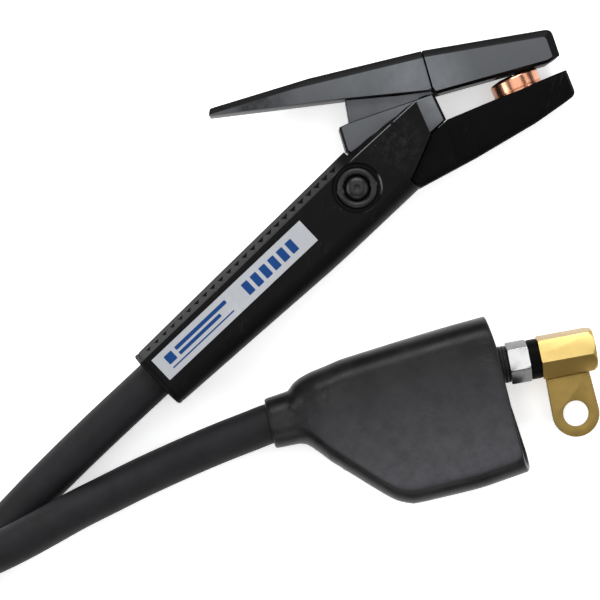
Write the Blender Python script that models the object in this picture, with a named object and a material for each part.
"""Air carbon-arc gouging torch with its monocable, insulating boot and power/air connector.

The torch lies on its side: +X runs along the handle to the jaws, +Y to the squeeze lever,
+Z up. Outlines are in millimetres in one of these frames, each held by an empty:
  torch      origin at the centre of the handle's rear end
  hinge      on the lever's pivot axis, parallel to the torch frame
  jaw        on the lower jaw's clamping face, +X along the face, +Y out of it
  boot       at the rear end of the boot's neck, +X along the cable
  connector  where the cable's stub leaves the boot, +X along the brass block
"""
import math

import bmesh
import bpy
from mathutils import Matrix, Vector

MM = 0.001

# Driving dimensions, in millimetres
TORCH_CENTRE = (145.4, 22.6)    # middle of the torch's outline, seen in the torch frame
MID_HEIGHT = 18.0               # height of the torch's and the boot's mid-plane
GAP = 0.3                       # clearance between neighbouring pieces
HANDLE_HALF = 18.0
HANDLE_LENGTH = 215.0
CHEEK_GAP_HALF = 12.6
BODY_HALF = 9.0
TONGUE_HALF = 5.0
HOUSING_HALF = 12.3
LEVER_HALF = 13.0
UPPER_JAW_HALF = 14.5
LOWER_JAW_HALF = 15.0
EDGE = 2.6                      # moulded chamfer round the insulators
PIVOT = (212.5, 8.0)
PIN_RADIUS = 2.5
VALVE = (153.3, 1.1)
JAW_ORIGIN = (214.2, -6.5)
JAW_ANGLE = -19.6
HEAD_ALONG = 44.8
HEAD_RADIUS = 13.9
CABLE_RADIUS = 11.25
CABLE_EXIT_Y = 1.5
BOOT_ORIGIN = (29.1, -60.0)
BOOT_ANGLE = -29.9
BOOT_WALL = 3.0
NECK_BORE = 12.0
NECK_CENTRE = -0.6
CONNECTOR_ORIGIN = (144.1, -125.0)
CONNECTOR_ANGLE = -32.9
HEX_ACROSS_FLATS = 22.2         # 7/8 in
NUT_ACROSS_FLATS = 20.6
STUB_BORE = 3.6
BLOCK_BORE = 5.4
AIR_PORT_RADIUS = 6.6           # plain bore for the hose fitting
BLOCK_TURN = 11.0               # each hexagon lies turned on the cable's axis
NUT_TURN = 19.0
LUG_CENTRE = (36.6, -33.9)
LUG_RADIUS = 13.0
LUG_HOLE = 7.15                 # 9/16 in hole for a 1/2 in bolt
LUG_HALF = 2.4
COIL_CENTRE = (-350.0, -30.0)
COIL_RADIUS = 124.0
COIL_BASE = 2.0                 # the coil lies on its ties


def clear_scene():
    for old in list(bpy.data.objects):
        bpy.data.objects.remove(old, do_unlink=True)


def material(name, colour, roughness, metallic=0.0):
    made = bpy.data.materials.new(name)
    made.use_nodes = True
    shader = made.node_tree.nodes["Principled BSDF"]
    shader.inputs["Base Color"].default_value = (*colour, 1.0)
    shader.inputs["Roughness"].default_value = roughness
    shader.inputs["Metallic"].default_value = metallic
    return made


def frame(name, at, angle=0.0, parent=None, height=0.0):
    """An empty; a child frame's place is given in its parent's millimetres."""
    empty = bpy.data.objects.new(name, None)
    bpy.context.collection.objects.link(empty)
    empty.parent = parent
    empty.location = Vector((at[0], at[1], height)) * MM
    empty.rotation_euler = (0.0, 0.0, math.radians(angle))
    return empty


def place(name, mesh_builder, parent, finish, smooth=False):
    """Turn a bmesh in millimetres into an object under a frame."""
    bmesh.ops.scale(mesh_builder, vec=(MM, MM, MM), verts=mesh_builder.verts)
    bmesh.ops.recalc_face_normals(mesh_builder, faces=mesh_builder.faces)
    mesh = bpy.data.meshes.new(name)
    mesh_builder.to_mesh(mesh)
    mesh_builder.free()
    if smooth:
        mesh.shade_smooth()
        mesh.set_sharp_from_angle(angle=math.radians(35))
    made = bpy.data.objects.new(name, mesh)
    bpy.context.collection.objects.link(made)
    made.parent = parent
    if finish:
        mesh.materials.append(finish)
    return made


def loft(rings):
    """A closed solid through rings that have the same number of points."""
    built = bmesh.new()
    rows = [[built.verts.new(point) for point in ring] for ring in rings]
    count = len(rows[0])
    for lower, upper in zip(rows, rows[1:]):
        for k in range(count):
            after = (k + 1) % count
            built.faces.new((lower[k], lower[after], upper[after], upper[k]))
    built.faces.new(rows[0])
    built.faces.new(rows[-1])
    return built


def inset(outline, distance):
    """The outline moved inwards by a distance, corner by corner."""
    area = sum(a[0] * b[1] - b[0] * a[1] for a, b in zip(outline, outline[1:] + outline[:1]))
    side = 1.0 if area > 0 else -1.0
    moved = []
    for k, corner in enumerate(outline):
        before = Vector(outline[k - 1])
        here = Vector(corner)
        after = Vector(outline[(k + 1) % len(outline)])
        one = (here - before).normalized()
        two = (after - here).normalized()
        normal_one = Vector((-one.y, one.x)) * side
        normal_two = Vector((-two.y, two.x)) * side
        mitre = (normal_one + normal_two) / (1.0 + normal_one.dot(normal_two))
        moved.append(tuple(here + mitre * distance))
    return moved


def slab(outline, low, high, chamfer=0.0):
    """An outline extruded along Z, with a chamfer round both faces if asked."""
    if not chamfer:
        return loft([[(x, y, z) for x, y in outline] for z in (low, high)])
    small = inset(outline, chamfer)
    levels = ((small, low), (outline, low + chamfer), (outline, high - chamfer), (small, high))
    return loft([[(x, y, z) for x, y in shape] for shape, z in levels])


def turned(profile, segments, axis="Z", centre=(0.0, 0.0, 0.0), phase=0.0):
    """A closed profile of (radius, height) turned about an axis; radius 0 makes a pole."""
    built = bmesh.new()
    rows = []
    for radius, height in profile:
        if radius == 0.0:
            rows.append([built.verts.new((0.0, 0.0, height))])
            continue
        angles = [2.0 * math.pi * k / segments + phase for k in range(segments)]
        rows.append([
            built.verts.new((radius * math.cos(a), radius * math.sin(a), height)) for a in angles
        ])
    pairs = list(zip(rows, rows[1:]))
    if profile[0][0] != 0.0:
        pairs.append((rows[-1], rows[0]))
    for one, two in pairs:
        for k in range(segments):
            corners = [one[k % len(one)], one[(k + 1) % len(one)]]
            corners += [two[(k + 1) % len(two)], two[k % len(two)]]
            unique = list(dict.fromkeys(corners))
            if len(unique) > 2:
                built.faces.new(unique)
    turn = {"Z": Matrix(), "X": Matrix.Rotation(math.pi / 2, 4, "Y"),
            "Y": Matrix.Rotation(-math.pi / 2, 4, "X")}[axis]
    bmesh.ops.transform(built, matrix=Matrix.Translation(centre) @ turn, verts=built.verts)
    return built


def rod(radius, low, high, segments=24, axis="Z", centre=(0.0, 0.0, 0.0)):
    profile = [(0.0, low), (radius, low), (radius, high), (0.0, high)]
    return turned(profile, segments, axis, centre)


def ring(inner, outer, low, high, segments=32, axis="Z", centre=(0.0, 0.0, 0.0)):
    profile = [(inner, low), (outer, low), (outer, high), (inner, high)]
    return turned(profile, segments, axis, centre)


def box(low, high):
    outline = [(low[0], low[1]), (high[0], low[1]), (high[0], high[1]), (low[0], high[1])]
    return slab(outline, low[2], high[2])


def helix(radius, wire, low, high, turns, per_turn=10, sides=6):
    """A coil spring along Z."""
    built = bmesh.new()
    rows = []
    steps = turns * per_turn
    for k in range(steps + 1):
        angle = 2.0 * math.pi * k / per_turn
        height = low + wire + (high - low - 2.0 * wire) * k / steps
        out = Vector((math.cos(angle), math.sin(angle), 0.0))
        centre = out * radius + Vector((0.0, 0.0, height))
        turn = [2.0 * math.pi * s / sides for s in range(sides)]
        rows.append([
            built.verts.new(centre + (out * math.cos(t) + Vector((0, 0, 1)) * math.sin(t)) * wire)
            for t in turn
        ])
    for one, two in zip(rows, rows[1:]):
        for s in range(sides):
            after = (s + 1) % sides
            built.faces.new((one[s], one[after], two[after], two[s]))
    built.faces.new(rows[0])
    built.faces.new(rows[-1])
    return built


def combine(target, operation, *tools):
    """Cut or join hidden tool shapes, which sit in the target's own frame."""
    for number, tool in enumerate(tools):
        helper = place(f"{target.name}_{operation.lower()}_{number}", tool, target.parent, None)
        helper.matrix_parent_inverse = target.matrix_parent_inverse
        helper.location = target.location
        helper.rotation_euler = target.rotation_euler
        helper.hide_render = True
        helper.display_type = "WIRE"
        change = target.modifiers.new(helper.name, "BOOLEAN")
        change.operation = operation
        change.solver = "EXACT"
        change.object = helper


def cut(target, *tools):
    combine(target, "DIFFERENCE", *tools)


def from_pivot(outline):
    """Torch outline to hinge frame."""
    return [(x - PIVOT[0], y - PIVOT[1]) for x, y in outline]


def jaw_to_torch(outline):
    """Jaw outline to torch frame."""
    turn = Matrix.Rotation(math.radians(JAW_ANGLE), 2)
    return [tuple(turn @ Vector(point) + Vector(JAW_ORIGIN)) for point in outline]


def circle(centre, radius, start=0.0, end=360.0, count=24):
    """Points of an arc; a full circle doesn't repeat its first point."""
    steps = count if end - start == 360.0 else count - 1
    angles = [math.radians(start + (end - start) * k / steps) for k in range(count)]
    return [(centre[0] + radius * math.cos(a), centre[1] + radius * math.sin(a)) for a in angles]


# Handle ------------------------------------------------------------------------------------

def handle_section(x, top, inner, bottom):
    """Flat faces, a straight facet on the lever's side and a round on the other side."""
    round_width = 10.0
    flat_half = 4.0
    points = [(inner, HANDLE_HALF), (top, HANDLE_HALF * 0.5)]
    points += [(top, -HANDLE_HALF * 0.5), (inner, -HANDLE_HALF)]
    arc = [math.radians(90.0 * k / 4) for k in range(5)]
    rise = HANDLE_HALF - flat_half
    lower = [(bottom + round_width * (1 - math.sin(a)), -flat_half - rise * math.cos(a)) for a in arc]
    upper = [(y, -z) for y, z in reversed(lower)]
    return [(x, y, z) for y, z in points + lower + upper]


def make_handle(torch, plastic, label_paper, steel):
    stations = (
        (0.0, 18.0, 12.8, -18.1), (60.0, 19.1, 12.9, -20.3), (118.0, 20.0, 13.8, -22.6),
        (163.0, 20.7, 14.3, -22.7), (HANDLE_LENGTH, 14.2, 13.9, -22.7),
    )
    shell = place("handle_shell", loft([handle_section(*s) for s in stations]), torch, plastic)
    nose = [(210.1, 40.0), (210.1, 14.8), (203.0, -5.3), (177.6, -16.1), (179.0, -40.0)]
    nose += [(240.0, -40.0), (240.0, 40.0)]
    label_face = HANDLE_HALF - 0.6
    cuts = [
        slab(nose, -30.0, 30.0),
        rod(NECK_BORE, -5.0, 52.4, 24, "X", (0.0, CABLE_EXIT_Y, 0.0)),
        box((45.0, -12.8, -BODY_HALF - GAP), (172.0, 12.4, BODY_HALF + GAP)),
        box((162.0, -19.0, -CHEEK_GAP_HALF), (230.0, 40.0, CHEEK_GAP_HALF)),
        box((5.6, -5.4, label_face), (118.4, 10.3, 30.0)),
        rod(11.8, -30.0, 30.0, 32, "Z", (*VALVE, 0.0)),
        rod(13.7, 16.2, 30.0, 32, "Z", (*VALVE, 0.0)),
    ]
    for x in (78.0, 126.0):
        cuts.append(rod(4.4, -30.0, -14.6, 16, "Z", (x, 0.0, 0.0)))
        cuts.append(rod(2.4, -30.0, -5.0, 16, "Z", (x, 0.0, 0.0)))
    cut(shell, *cuts)
    place("label_plate", box((6.0, -5.0, label_face + 0.3), (118.0, 9.9, HANDLE_HALF)), torch, label_paper)
    for name, x in (("handle_screw_rear", 78.0), ("handle_screw_front", 126.0)):
        head = [(0.0, -17.6), (3.2, -17.6), (4.0, -16.8), (4.0, -14.9), (1.9, -14.9), (1.9, -4.0)]
        place(name, turned(head + [(0.0, -4.0)], 16, "Z", (x, 0.0, 0.0)), torch, steel)


# Body casting and cable end ------------------------------------------------------------------

def make_body(torch, brass, steel):
    arm = [(140.0, -9.0), (166.0, -9.5), (184.0, -17.0), (203.0, -22.5), (216.0, -26.5), (250.0, -35.4)]
    arm += [(268.0, -37.6), (273.5, -36.0), (274.0, -32.0)]
    arm += jaw_to_torch([(61.0, -3.6), (4.0, -3.6)])
    arm += [(209.0, -6.0)] + circle(PIVOT, 4.2, -30.0, 140.0, 8)
    arm += [(199.0, 7.5), (176.0, 8.0), (170.0, 9.5), (140.0, 9.5)]
    casting = place("body_casting", slab(arm, -BODY_HALF, BODY_HALF), torch, brass)
    combine(
        casting, "UNION",
        box((52.0, -8.0, -8.0), (141.0, 9.0, 8.0)),
        box((141.5, -11.0, -BODY_HALF), (165.0, 12.0, BODY_HALF)),
    )
    slot = [(196.0, 30.0), (196.0, -3.5), (206.0, -3.5), (209.0, -5.8), (230.0, -5.8), (230.0, 30.0)]
    along = jaw_to_torch([(HEAD_ALONG, 0.0)])[0]
    turn = Matrix.Rotation(math.radians(JAW_ANGLE), 4, "Z")
    bores = [rod(4.9, -12.0, 5.0, 24, "Y"), rod(6.0, -30.0, -10.8, 24, "Y")]
    for bore in bores:
        bmesh.ops.transform(bore, matrix=Matrix.Translation((*along, 0.0)) @ turn, verts=bore.verts)
    cut(
        casting,
        slab(slot, -TONGUE_HALF - 0.4, TONGUE_HALF + 0.4),
        rod(PIN_RADIUS + GAP, -20.0, 20.0, 20, "Z", (*PIVOT, 0.0)),
        rod(6.4, -20.0, 20.0, 24, "Z", (*VALVE, 0.0)),
        rod(4.5, 40.0, 148.0, 16, "X", (0.0, 0.5, 0.0)),
        rod(2.3, -20.0, -3.4, 16, "Z", (78.0, 0.0, 0.0)),
        rod(2.3, -20.0, -3.4, 16, "Z", (126.0, 0.0, 0.0)),
        *bores,
    )
    ferrule = [(4.0, 24.4), (10.8, 24.4), (10.8, 36.0), (8.6, 37.5), (8.6, 43.0), (10.2, 43.6)]
    ferrule += [(10.2, 51.6), (4.0, 51.6)]
    place("cable_ferrule", turned(ferrule, 24, "X", (0.0, CABLE_EXIT_Y, 0.0)), torch, brass)
    pin = rod(PIN_RADIUS, -BODY_HALF + 0.1, BODY_HALF - 0.1, 20, "Z", (*PIVOT, 0.0))
    place("hinge_pin", pin, torch, steel, smooth=True)


def make_spring_housing(torch, plastic):
    outline = [(169.2, 32.3), (163.3, 20.5), (165.2, 13.0), (174.0, 12.6), (190.0, 2.0), (200.0, -5.0)]
    outline += [(213.4, -4.6), (218.8, 9.6), (175.0, 30.4)]
    housing = place("spring_housing", slab(outline, -HOUSING_HALF, HOUSING_HALF, 0.6), torch, plastic)
    hollow = [(171.6, 45.0), (166.2, 19.5), (168.4, 14.9), (173.0, 10.0), (185.0, -15.0), (225.0, -15.0)]
    hollow += [(230.0, 20.0)]
    cut(housing, slab(hollow, -BODY_HALF - GAP, BODY_HALF + GAP))


# Valve ---------------------------------------------------------------------------------------

def make_valve(torch, valve, brass, steel, plastic, rubber):
    at = (*VALVE, 0.0)
    place("valve_sleeve", ring(4.4, 6.1, -BODY_HALF + 0.1, BODY_HALF - 0.1, 24, "Z", at), torch, brass)
    place("valve_retaining_ring", turned([
        (7.4, 9.6), (11.4, 9.6), (11.4, 17.6), (10.6, 18.3), (8.2, 18.3), (7.4, 17.6)
    ], 32, "Z", at), torch, plastic)
    place("valve_plug", turned([
        (0.0, -17.7), (10.6, -17.7), (11.4, -16.9), (11.4, -9.6), (4.9, -9.6), (4.9, -14.2), (0.0, -14.2)
    ], 32, "Z", at), torch, plastic)
    button = [(0.0, 18.2), (3.0, 18.1), (5.6, 17.6), (6.9, 16.6), (6.9, 13.9), (2.9, 13.9), (2.9, 8.6)]
    place("valve_button", turned(button + [(0.0, 8.6)], 24), valve, plastic, smooth=True)
    grooves = []
    for middle in (-3.6, 4.2):
        grooves += [(3.8, middle - 1.2), (2.2, middle - 1.2), (2.2, middle + 1.2), (3.8, middle + 1.2)]
    spool = [(0.0, -6.0), (3.8, -6.0), *grooves, (3.8, 8.3), (0.0, 8.3)]
    place("valve_spool", turned(spool, 20), valve, steel)
    for name, middle in (("valve_o_ring_lower", -3.6), ("valve_o_ring_upper", 4.2)):
        section = circle((3.3, middle), 0.78, count=6)
        place(name, turned(section, 20), valve, rubber)
    place("valve_spring", helix(2.7, 0.4, -13.8, -6.4, 5), torch, steel).location = Vector(at) * MM


# Lower jaw -----------------------------------------------------------------------------------

def make_lower_jaw(torch, jaw, head, plastic, copper, steel):
    outline = [(203.3, -5.4), (214.2, -6.5), (282.2, -30.7), (277.9, -41.7), (276.0, -43.3), (272.1, -43.9)]
    outline += [(252.1, -40.9), (214.7, -32.4), (202.0, -29.0), (179.4, -22.9), (178.0, -16.3)]
    cover = place("lower_insulator", slab(outline, -LOWER_JAW_HALF, LOWER_JAW_HALF, EDGE), torch, plastic)
    pocket = [(160.0, 12.0), (160.0, -10.0), (183.5, -17.6), (202.8, -23.1), (215.8, -27.0), (249.9, -36.0)]
    pocket += [(268.2, -38.2), (274.1, -36.4), (274.6, -31.4)] + jaw_to_torch([(61.0, -3.1), (4.2, -3.1)])
    pocket += [(213.0, 12.0)]
    half = BODY_HALF + GAP
    seat = rod(HEAD_RADIUS + 0.4, -3.5, 12.0, 32, "Y")
    screw_hole = rod(2.4, -30.0, -3.0, 16, "Z", (232.0, -24.0, 0.0))
    screw_sink = rod(4.4, -30.0, -12.4, 16, "Z", (232.0, -24.0, 0.0))
    turn = Matrix.Translation((*jaw_to_torch([(HEAD_ALONG, 0.0)])[0], 0.0))
    turn = turn @ Matrix.Rotation(math.radians(JAW_ANGLE), 4, "Z")
    bmesh.ops.transform(seat, matrix=turn, verts=seat.verts)
    cut(cover, slab(pocket, -half, half), seat, screw_hole, screw_sink)
    casting = bpy.data.objects["body_casting"]
    cut(casting, rod(2.3, -20.0, -3.0, 16, "Z", (232.0, -24.0, 0.0)))
    screw = [(0.0, -14.8), (3.3, -14.8), (4.0, -14.1), (4.0, -12.7), (1.9, -12.7), (1.9, -3.6), (0.0, -3.6)]
    place("lower_insulator_screw", turned(screw, 16, "Z", (232.0, -24.0, 0.0)), torch, steel)

    disc = [(0.0, -10.4), (4.5, -10.4), (4.5, -2.3), (HEAD_RADIUS - 0.5, -2.3), (HEAD_RADIUS, 0.0)]
    disc += [(HEAD_RADIUS, 7.6), (HEAD_RADIUS - 1.3, 8.6), (8.0, 9.6), (0.0, 9.8)]
    swivel = place("swivel_head", turned(disc, 40, "Y", phase=0.05), head, copper, smooth=True)
    notch = [(-2.8, 12.0), (2.8, 12.0), (0.5, 7.9), (-0.5, 7.9)]
    groove = loft([[(x, y, z) for x, y in notch] for z in (-16.0, 16.0)])
    jets = [rod(1.0, 3.5, 12.0, 10, "Y", (x, 0.0, 0.0)) for x in (-5.4, 5.4)]
    cut(swivel, groove, rod(2.2, -12.0, -3.6, 16, "Y"), *jets)
    washer = ring(5.2, 9.5, -3.3, -2.6, 24, "Y", (HEAD_ALONG, 0.0, 0.0))
    place("head_washer", washer, jaw, steel)
    holder = [(0.0, -13.4), (5.6, -13.4), (5.6, -11.1), (1.8, -11.1), (1.8, -4.2), (0.0, -4.2)]
    place("head_screw", turned(holder, 20, "Y"), head, steel)


# Lever and upper jaw -------------------------------------------------------------------------

def make_upper_arm(hinge, copper):
    bar = [(172.0, 57.6), (171.0, 55.6), (205.0, 31.0), (222.0, 17.5), (228.0, 10.6), (250.0, -1.0)]
    bar += [(254.0, -7.3), (270.2, -15.9), (273.0, -13.3), (277.0, -15.4), (283.0, -10.4), (228.0, 27.0)]
    tongue = [(203.0, 31.0)] + circle(PIVOT, 4.2, 150.0, 340.0, 10) + [(222.0, 15.0), (224.0, 19.0)]
    arm = place("upper_arm", slab(from_pivot(bar), -8.0, 8.0), hinge, copper)
    combine(arm, "UNION", slab(from_pivot(tongue), -TONGUE_HALF, TONGUE_HALF))
    screw_x, screw_y = from_pivot([(243.0, 7.0)])[0]
    cut(
        arm,
        rod(PIN_RADIUS + GAP, -20.0, 20.0, 20),
        rod(2.3, -20.0, -2.6, 16, "Z", (screw_x, screw_y, 0.0)),
    )


def make_lever(hinge, plastic, steel):
    grip = [(124.6, 89.0), (122.2, 88.6), (121.0, 86.6), (121.6, 85.8), (181.3, 42.2), (218.4, 13.6)]
    grip += [(221.2, 12.6), (231.2, 31.9), (176.0, 63.4)]
    lever = place("lever_grip", slab(from_pivot(grip), -LEVER_HALF, LEVER_HALF, 0.9), hinge, plastic)
    pocket = [(171.0, 58.6), (170.0, 55.0), (204.8, 30.4), (221.6, 17.0), (240.0, 4.0), (240.0, 20.2)]
    pocket += [(228.2, 28.0)]
    slot = [(202.0, 34.0), (207.0, 5.0), (236.0, 5.0), (236.0, 24.0)]
    cut(
        lever,
        slab(from_pivot(pocket), -8.4, 8.4),
        slab(from_pivot(slot), -TONGUE_HALF - 0.4, TONGUE_HALF + 0.4),
    )
    wedge = [(182.4, 41.1), (172.4, 26.0), (188.0, 18.6), (200.0, 14.6), (206.0, 18.4), (206.0, 22.8)]
    hollow = [(190.2, 50.3), (170.3, 20.2), (172.0, 10.0), (230.0, 0.0), (230.0, 40.0)]
    skirt = place("lever_skirt", slab(from_pivot(wedge), -8.6, 8.6), hinge, plastic)
    cut(skirt, slab(from_pivot(hollow), -6.6, 6.6))

    cover = [(221.6, 12.1), (231.7, 31.6), (287.0, -5.2), (290.2, -8.0), (290.8, -10.4), (285.1, -22.6)]
    cover += [(277.6, -21.1), (221.0, 8.5)]
    insulator = place(
        "upper_insulator", slab(from_pivot(cover), -UPPER_JAW_HALF, UPPER_JAW_HALF, EDGE), hinge, plastic
    )
    pocket = [(215.0, 22.6), (227.8, 10.1), (249.6, -1.4), (253.0, -12.0), (271.6, -22.0), (273.1, -13.8)]
    pocket += [(277.2, -16.0), (283.8, -10.2), (228.2, 27.6), (215.0, 36.0)]
    slot = [(212.0, 20.0), (212.0, 4.0), (222.6, 7.5), (224.6, 19.0)]
    screw_x, screw_y = from_pivot([(243.0, 7.0)])[0]
    cut(
        insulator,
        slab(from_pivot(pocket), -8.4, 8.4),
        slab(from_pivot(slot), -TONGUE_HALF - 0.4, TONGUE_HALF + 0.4),
        rod(2.4, -30.0, -7.0, 16, "Z", (screw_x, screw_y, 0.0)),
        rod(4.4, -30.0, -12.0, 16, "Z", (screw_x, screw_y, 0.0)),
    )
    screw = [(0.0, -14.3), (3.3, -14.3), (4.0, -13.6), (4.0, -12.3), (1.9, -12.3), (1.9, -3.2), (0.0, -3.2)]
    place("upper_insulator_screw", turned(screw, 16, "Z", (screw_x, screw_y, 0.0)), hinge, steel)


def make_main_spring(torch, steel):
    """Along the line from the lever's underside square down to the body."""
    top = Vector((191.6, 33.9, 0.0))
    down = Vector((-0.5985, -0.8011, 0.0))
    turn = (-down).to_track_quat("Z", "X").to_euler()
    spring = place("main_spring", helix(4.6, 0.75, 0.3, 25.6, 7), torch, steel)
    spring.location = (top + down * 26.0) * MM
    spring.rotation_euler = turn
    seat = place("spring_seat", turned([
        (0.0, -1.6), (4.2, -1.6), (5.3, -0.6), (5.3, 0.0), (3.3, 0.0), (3.3, 1.4), (0.0, 1.4)
    ], 24), torch, steel)
    seat.location = spring.location
    seat.rotation_euler = turn


# Boot and connector --------------------------------------------------------------------------

def boot_ring(u, low, high, half, shrink=0.0, lean=0.0, count=28):
    """A rounded cross-section of the boot; lean slants it so its low side reaches further."""
    middle = (low + high) / 2.0
    width = (high - low) / 2.0 - shrink
    height = half - shrink
    corner = min(width, height, 12.0)
    points = []
    for k in range(count):
        quarter, step = divmod(k, count // 4)
        angle = math.radians(90.0 * quarter + 90.0 * step / (count // 4 - 1))
        side_v = 1.0 if quarter in (0, 3) else -1.0
        side_z = 1.0 if quarter in (0, 1) else -1.0
        v = side_v * (width - corner) + corner * math.cos(angle)
        z = side_z * (height - corner) + corner * math.sin(angle)
        points.append((u - lean * (v + middle), v + middle, z))
    return points


def make_boot(boot, rubber):
    stations = (
        (0.0, -14.8, 13.5, 14.0, 0.0), (13.7, -15.4, 14.8, 14.0, 0.0), (17.5, -16.8, 18.0, 14.8, 0.0),
        (21.5, -20.7, 20.1, 16.0, 0.0), (28.4, -28.8, 22.0, 17.2, 0.0), (34.3, -35.0, 22.9, 17.6, 0.0),
        (46.3, -46.8, 24.9, 18.0, 0.0), (57.9, -57.7, 25.8, 18.0, 0.0), (66.6, -62.1, 26.4, 18.0, 0.01),
        (82.0, -62.5, 27.4, 18.0, 0.03), (105.0, -62.3, 28.7, 18.0, 0.055),
        (132.3, -59.7, 29.7, 18.0, 0.081),
    )
    outer = [boot_ring(u, low, high, half, 0.0, lean) for u, low, high, half, lean in stations]
    shell = place("boot", loft(outer), boot, rubber)
    hollow = [boot_ring(u, low, high, half, BOOT_WALL, lean) for u, low, high, half, lean in stations[3:]]
    mouth = boot_ring(142.0, -59.4, 30.0, 18.0, BOOT_WALL, 0.081)
    bore = rod(NECK_BORE, -10.0, 40.0, 28, "X", (0.0, NECK_CENTRE, 0.0))
    cut(shell, loft(hollow + [mouth]), bore)


def make_connector(connector, rubber, zinc, plastic, brass):
    place("stub_sleeve", turned([
        (3.0, -17.0), (10.4, -17.0), (10.4, 4.4), (3.0, 4.4)
    ], 28, "X"), connector, rubber, smooth=True)
    across = NUT_ACROSS_FLATS / math.sqrt(3.0)
    sides = [(0.0, 4.7), (across - 0.8, 4.7), (across, 5.3), (across, 15.5), (across - 0.8, 16.1)]
    sides += [(0.0, 16.1)]
    nut = place("hex_nut", turned(sides, 6, "X", phase=math.radians(NUT_TURN)), connector, zinc)
    cut(nut, rod(STUB_BORE, 0.0, 20.0, 24, "X"))
    place("spacer_collar", ring(BLOCK_BORE, 11.1, 16.4, 22.0, 28, "X"), connector, plastic, smooth=True)
    across = HEX_ACROSS_FLATS / math.sqrt(3.0)
    sides = [(0.0, 22.3), (across, 22.3), (across, 51.6), (across - 1.7, 53.2), (0.0, 53.2)]
    block = place("brass_block", turned(sides, 6, "X", phase=math.radians(BLOCK_TURN)), connector, brass)
    cut(block, rod(BLOCK_BORE, 10.0, 60.0, 24, "X"), rod(AIR_PORT_RADIUS, 40.0, 60.0, 32, "X"))
    lug_x, lug_y = LUG_CENTRE
    tab = circle(LUG_CENTRE, LUG_RADIUS, 180.0, 360.0, 16)
    tab += [(lug_x + LUG_RADIUS - 1.6, -12.2), (lug_x - LUG_RADIUS, -12.2)]
    lug = place("lug_tab", slab(tab, -LUG_HALF, LUG_HALF, 0.4), connector, brass)
    cut(lug, rod(LUG_HOLE, -10.0, 10.0, 28, "Z", (lug_x, lug_y, 0.0)))


# Cable ---------------------------------------------------------------------------------------

TORCH_RUN = (
    (24.0, 1.5, 18.0), (0.0, 1.5, 18.0), (-24.0, 1.7, 16.9), (-48.0, 1.8, 14.4), (-72.0, 1.5, 12.2),
    (-100.0, 0.5, 11.4), (-130.0, -2.1, 11.4), (-156.0, -9.6, 11.8), (-172.0, -17.2, 12.2),
    (-186.0, -26.2, 12.6), (-199.6, -37.0, 13.0),
)
BOOT_RUN = (
    (-216.0, 37.2, 36.0), (-198.0, 27.2, 36.0), (-178.0, 15.6, 35.9), (-156.0, 3.6, 35.6),
    (-134.0, -6.4, 35.4), (-116.0, -12.4, 33.4), (-99.0, -17.1, 28.4), (-82.0, -21.6, 22.4),
    (-64.0, -27.2, 17.4), (-44.0, -33.4, 14.4), (-22.0, -40.9, 14.4), (0.0, -48.9, 16.4),
    (18.0, -56.1, 17.9), (28.8, -60.5, 18.0), (39.4, -66.6, 18.0), (59.5, -78.2, 18.0),
    (76.5, -87.9, 18.0), (93.8, -97.9, 18.0), (105.1, -104.0, 18.0), (117.7, -109.4, 18.0),
    (128.0, -115.1, 18.0),
)


def smooth_route(points, spacing):
    """Evenly spaced points on one smooth curve through the given ones."""
    spots = [Vector(p) for p in points]
    spots = [2 * spots[0] - spots[1]] + spots + [2 * spots[-1] - spots[-2]]
    fine = []
    for a, b, c, d in zip(spots, spots[1:], spots[2:], spots[3:]):
        for step in range(24):
            t = step / 24
            fine.append(0.5 * (2 * b + (c - a) * t + (2 * a - 5 * b + 4 * c - d) * t * t
                               + (3 * b - a - 3 * c + d) * t ** 3))
    fine.append(spots[-2])
    total = sum((q - p).length for p, q in zip(fine, fine[1:]))
    count = round(total / spacing)
    picked = [fine[0]]
    travelled = 0.0
    for p, q in zip(fine, fine[1:]):
        travelled += (q - p).length
        if travelled >= total * len(picked) / count - 1e-6 and len(picked) <= count:
            picked.append(q)
    return picked


def cable(name, points, parent, rubber):
    curve = bpy.data.curves.new(name, "CURVE")
    curve.dimensions = "3D"
    curve.bevel_depth = CABLE_RADIUS * MM
    curve.bevel_resolution = 3
    curve.use_fill_caps = True
    curve.materials.append(rubber)
    route = smooth_route(points, 2.4 * CABLE_RADIUS)
    spline = curve.splines.new("POLY")
    spline.points.add(len(route) - 1)
    for spot, place_at in zip(spline.points, route):
        spot.co = (*(place_at * MM), 1.0)
    made = bpy.data.objects.new(name, curve)
    bpy.context.collection.objects.link(made)
    made.parent = parent


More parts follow.
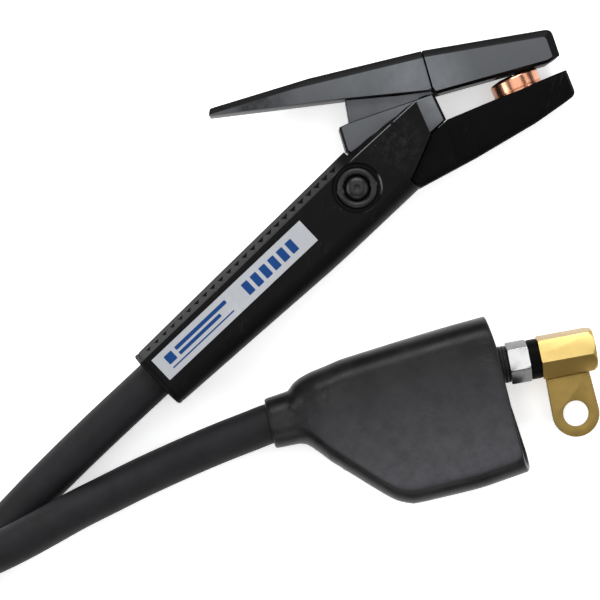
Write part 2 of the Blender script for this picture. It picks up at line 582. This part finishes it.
def make_cable(ground, rubber, strap):
    cable("cable_torch_run", TORCH_RUN, ground, rubber)
    cable("cable_boot_run", BOOT_RUN, ground, rubber)
    inner = COIL_RADIUS - CABLE_RADIUS
    outer = COIL_RADIUS + CABLE_RADIUS
    top = COIL_BASE + 4.0 * CABLE_RADIUS
    coil = [(inner, COIL_BASE + 6.0), (inner + 6.0, COIL_BASE), (outer - 6.0, COIL_BASE)]
    coil += [(outer, COIL_BASE + 6.0), (outer, top - 6.0), (outer - 6.0, top), (inner + 6.0, top)]
    coil += [(inner, top - 6.0)]
    place("cable_coil", turned(coil, 48, "Z", (*COIL_CENTRE, 0.0)), ground, rubber, smooth=True)
    for name, angle in (("coil_tie_left", 165.0), ("coil_tie_right", 285.0)):
        outside = [(inner - 2.0, 0.0), (outer + 2.0, 0.0)]
        outside += [(outer + 2.0, top + 2.0), (inner - 2.0, top + 2.0)]
        inside = [(inner - 0.4, COIL_BASE - 0.4), (outer + 0.4, COIL_BASE - 0.4)]
        inside += [(outer + 0.4, top + 0.4), (inner - 0.4, top + 0.4)]
        band = loft([[(x, y, z) for x, z in outside] for y in (-6.0, 6.0)])
        tie = place(name, band, ground, strap)
        tie.location = (COIL_CENTRE[0] * MM, COIL_CENTRE[1] * MM, 0.0)
        tie.rotation_euler = (0.0, 0.0, math.radians(angle))
        cut(tie, loft([[(x, y, z) for x, z in inside] for y in (-9.0, 9.0)]))


def main():
    clear_scene()
    plastic = material("moulded_nylon", (0.012, 0.012, 0.013), 0.5)
    grey = material("grey_nylon", (0.12, 0.125, 0.13), 0.5)
    rubber = material("boot_rubber", (0.03, 0.029, 0.032), 0.4)
    jacket = material("cable_jacket", (0.016, 0.016, 0.018), 0.65)
    brass = material("brass", (0.72, 0.5, 0.16), 0.3, 1.0)
    copper = material("copper", (0.85, 0.42, 0.26), 0.25, 1.0)
    steel = material("plated_steel", (0.6, 0.6, 0.6), 0.3, 1.0)
    paper = material("label_paper", (0.7, 0.72, 0.75), 0.45)
    strap = material("strap_webbing", (0.02, 0.02, 0.02), 0.9)

    centre_x, centre_y = TORCH_CENTRE
    torch = frame("torch_frame", (-centre_x, -centre_y), height=MID_HEIGHT)
    ground = frame("ground_frame", (-centre_x, -centre_y))
    hinge = frame("hinge_frame", PIVOT, parent=torch)
    valve = frame("valve_frame", VALVE, parent=torch)
    jaw = frame("jaw_frame", JAW_ORIGIN, JAW_ANGLE, torch)
    head = frame("head_frame", (HEAD_ALONG, 0.0), parent=jaw)
    boot = frame("boot_frame", BOOT_ORIGIN, BOOT_ANGLE, torch)
    connector = frame("connector_frame", CONNECTOR_ORIGIN, CONNECTOR_ANGLE, torch)

    make_handle(torch, plastic, paper, steel)
    make_body(torch, brass, steel)
    make_spring_housing(torch, grey)
    make_valve(torch, valve, brass, steel, plastic, rubber)
    make_lower_jaw(torch, jaw, head, plastic, copper, steel)
    make_upper_arm(hinge, copper)
    make_lever(hinge, grey, steel)
    make_main_spring(torch, steel)
    make_boot(boot, rubber)
    make_connector(connector, rubber, steel, plastic, brass)
    make_cable(ground, jacket, strap)


main()
